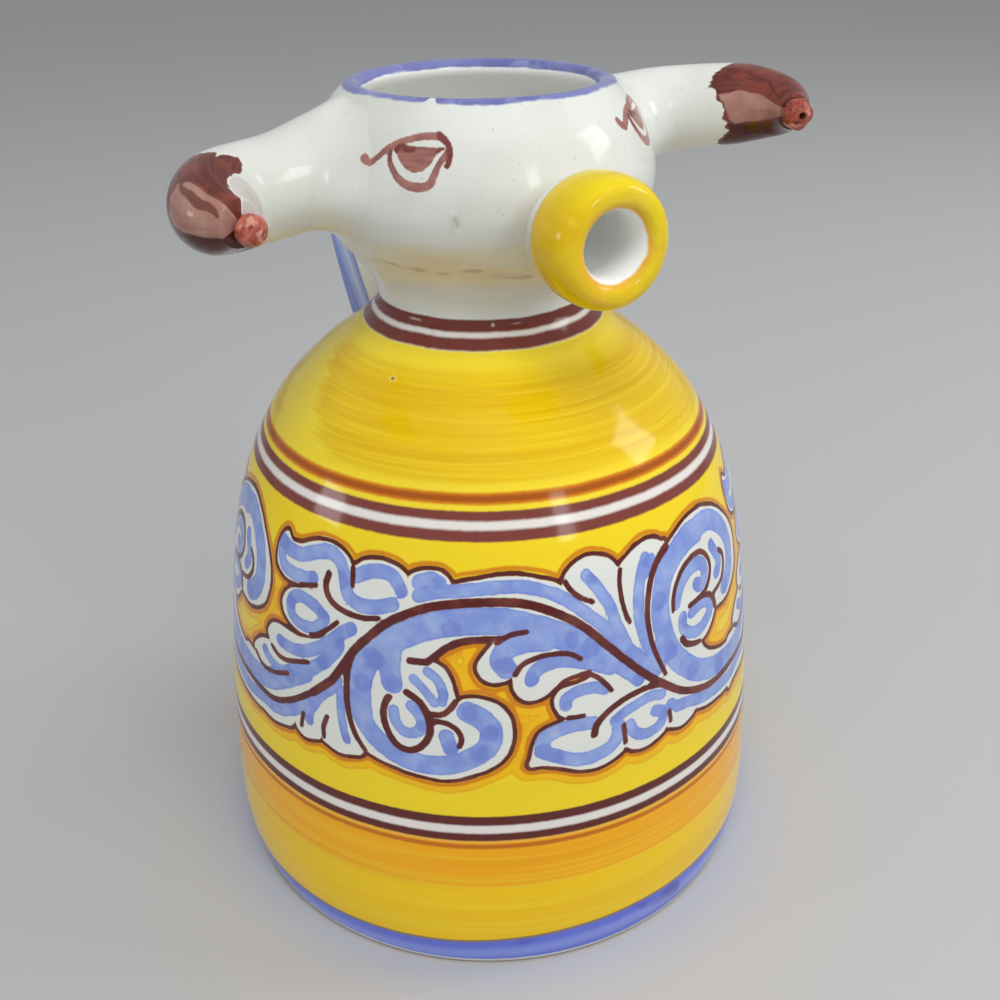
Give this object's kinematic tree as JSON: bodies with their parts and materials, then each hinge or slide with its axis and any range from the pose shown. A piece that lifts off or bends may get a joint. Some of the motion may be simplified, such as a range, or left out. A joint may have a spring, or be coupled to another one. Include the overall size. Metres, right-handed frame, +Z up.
{
  "type": "ceramic bull jug",
  "caption": "Hand-painted glazed earthenware jug in the form of a bull: bell body, open bowl head, ringed muzzle spout, horns and a strap handle.",
  "frame": {"origin": "on the body's axis, on the flat base that the jug stands on", "axes": "+Z up, along the thrown body's axis; the bull's muzzle points along -Y, the handle is at +Y and the horns reach along X"},
  "size_m": [0.1339, 0.1268, 0.177],
  "materials": {
    "body_glaze": "gloss",
    "neck_glaze": "gloss",
    "head_glaze": "gloss",
    "spout_glaze": "gloss",
    "ring_glaze": "gloss",
    "horn_glaze": "gloss",
    "tip_glaze": "gloss",
    "handle_glaze": "gloss"
  },
  "bodies": {
    "root": {"body_bell": "body_glaze", "neck_collar": "neck_glaze", "head_bowl": "head_glaze", "muzzle_spout": "spout_glaze", "muzzle_ring": "ring_glaze", "left_horn": "horn_glaze", "left_horn_tip": "tip_glaze", "right_horn": "horn_glaze", "right_horn_tip": "tip_glaze", "handle_strap": "handle_glaze"}
  },
  "joints": []
}
